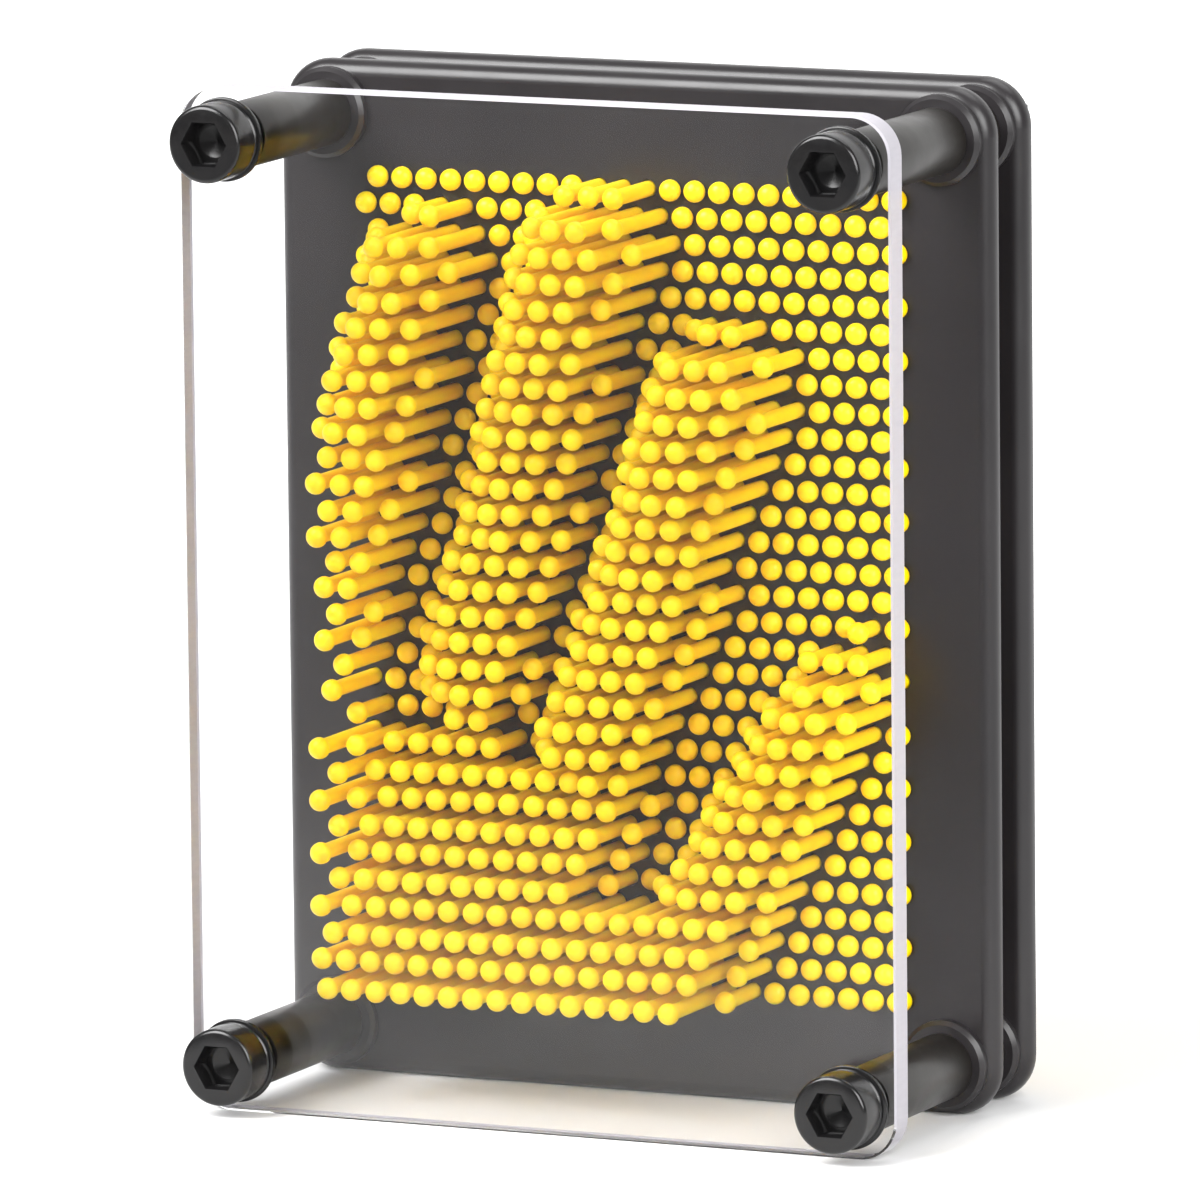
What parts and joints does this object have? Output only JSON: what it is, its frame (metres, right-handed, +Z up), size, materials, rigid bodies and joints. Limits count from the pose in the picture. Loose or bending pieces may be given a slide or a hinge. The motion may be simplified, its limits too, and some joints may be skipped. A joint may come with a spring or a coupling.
{
  "type": "pin art impression toy",
  "caption": "Upright desk toy: a field of sliding pins in two black plates behind a clear cover on four screwed posts, holding the impression of a hand.",
  "frame": {"origin": "on the ground under the middle of the whole toy: mid width, and half way between the faces of the screw heads and the ends of the pin tails", "axes": "+X to the right as seen from the clear cover, +Y from the clear cover towards the pin tails, +Z up"},
  "size_m": [0.1504, 0.114, 0.2002],
  "materials": {
    "clear_acrylic": "clear polished acrylic sheet, with pale edges where the light gathers",
    "black_plate": "satin charcoal black moulded plastic with a very fine grain",
    "black_tube": "satin black plastic tube",
    "black_fixings": "semi-gloss black plastic",
    "yellow_pin": "bright yellow moulded plastic with a soft shine"
  },
  "bodies": {
    "frame": {"front_cover": "clear_acrylic", "front_plate": "black_plate", "rear_plate": "black_plate", "head_washers": "black_fixings", "cover_standoffs": "black_tube", "plate_spacers": "black_tube", "nut_washers": "black_fixings", "cap_screws": "black_fixings", "rear_nuts": "black_fixings"},
    "pins_at_rest": {"pins_at_rest": "yellow_pin"},
    "pins_digits_15": {"pins_digits_15": "yellow_pin"},
    "pins_digits_12": {"pins_digits_12": "yellow_pin"},
    "pins_digits_09": {"pins_digits_09": "yellow_pin"},
    "pins_digits_24": {"pins_digits_24": "yellow_pin"},
    "pins_digits_27": {"pins_digits_27": "yellow_pin"},
    "pins_digits_21": {"pins_digits_21": "yellow_pin"},
    "pins_digits_06": {"pins_digits_06": "yellow_pin"},
    "pins_digits_18": {"pins_digits_18": "yellow_pin"},
    "pins_digits_03": {"pins_digits_03": "yellow_pin"},
    "pins_palm_24": {"pins_palm_24": "yellow_pin"},
    "pins_palm_18": {"pins_palm_18": "yellow_pin"},
    "pins_palm_12": {"pins_palm_12": "yellow_pin"},
    "pins_palm_21": {"pins_palm_21": "yellow_pin"},
    "pins_palm_15": {"pins_palm_15": "yellow_pin"},
    "pins_palm_06": {"pins_palm_06": "yellow_pin"},
    "pins_palm_09": {"pins_palm_09": "yellow_pin"},
    "pins_palm_27": {"pins_palm_27": "yellow_pin"}
  },
  "joints": [
    {"name": "at_rest_slide", "type": "slide", "parent": "frame", "child": "pins_at_rest", "axis": [0, -1, 0], "range_m": [0, 0.0374]},
    {"name": "digits_15_slide", "type": "slide", "parent": "frame", "child": "pins_digits_15", "axis": [0, -1, 0], "range_m": [-0.015, 0.0224]},
    {"name": "digits_12_slide", "type": "slide", "parent": "frame", "child": "pins_digits_12", "axis": [0, -1, 0], "range_m": [-0.012, 0.0254]},
    {"name": "digits_09_slide", "type": "slide", "parent": "frame", "child": "pins_digits_09", "axis": [0, -1, 0], "range_m": [-0.009, 0.0284]},
    {"name": "digits_24_slide", "type": "slide", "parent": "frame", "child": "pins_digits_24", "axis": [0, -1, 0], "range_m": [-0.024, 0.0134]},
    {"name": "digits_27_slide", "type": "slide", "parent": "frame", "child": "pins_digits_27", "axis": [0, -1, 0], "range_m": [-0.027, 0.0104]},
    {"name": "digits_21_slide", "type": "slide", "parent": "frame", "child": "pins_digits_21", "axis": [0, -1, 0], "range_m": [-0.021, 0.0164]},
    {"name": "digits_06_slide", "type": "slide", "parent": "frame", "child": "pins_digits_06", "axis": [0, -1, 0], "range_m": [-0.006, 0.0314]},
    {"name": "digits_18_slide", "type": "slide", "parent": "frame", "child": "pins_digits_18", "axis": [0, -1, 0], "range_m": [-0.018, 0.0194]},
    {"name": "digits_03_slide", "type": "slide", "parent": "frame", "child": "pins_digits_03", "axis": [0, -1, 0], "range_m": [-0.003, 0.0344]},
    {"name": "palm_24_slide", "type": "slide", "parent": "frame", "child": "pins_palm_24", "axis": [0, -1, 0], "range_m": [-0.024, 0.0134]},
    {"name": "palm_18_slide", "type": "slide", "parent": "frame", "child": "pins_palm_18", "axis": [0, -1, 0], "range_m": [-0.018, 0.0194]},
    {"name": "palm_12_slide", "type": "slide", "parent": "frame", "child": "pins_palm_12", "axis": [0, -1, 0], "range_m": [-0.012, 0.0254]},
    {"name": "palm_21_slide", "type": "slide", "parent": "frame", "child": "pins_palm_21", "axis": [0, -1, 0], "range_m": [-0.021, 0.0164]},
    {"name": "palm_15_slide", "type": "slide", "parent": "frame", "child": "pins_palm_15", "axis": [0, -1, 0], "range_m": [-0.015, 0.0224]},
    {"name": "palm_06_slide", "type": "slide", "parent": "frame", "child": "pins_palm_06", "axis": [0, -1, 0], "range_m": [-0.006, 0.0314]},
    {"name": "palm_09_slide", "type": "slide", "parent": "frame", "child": "pins_palm_09", "axis": [0, -1, 0], "range_m": [-0.009, 0.0284]},
    {"name": "palm_27_slide", "type": "slide", "parent": "frame", "child": "pins_palm_27", "axis": [0, -1, 0], "range_m": [-0.027, 0.0104]}
  ]
}
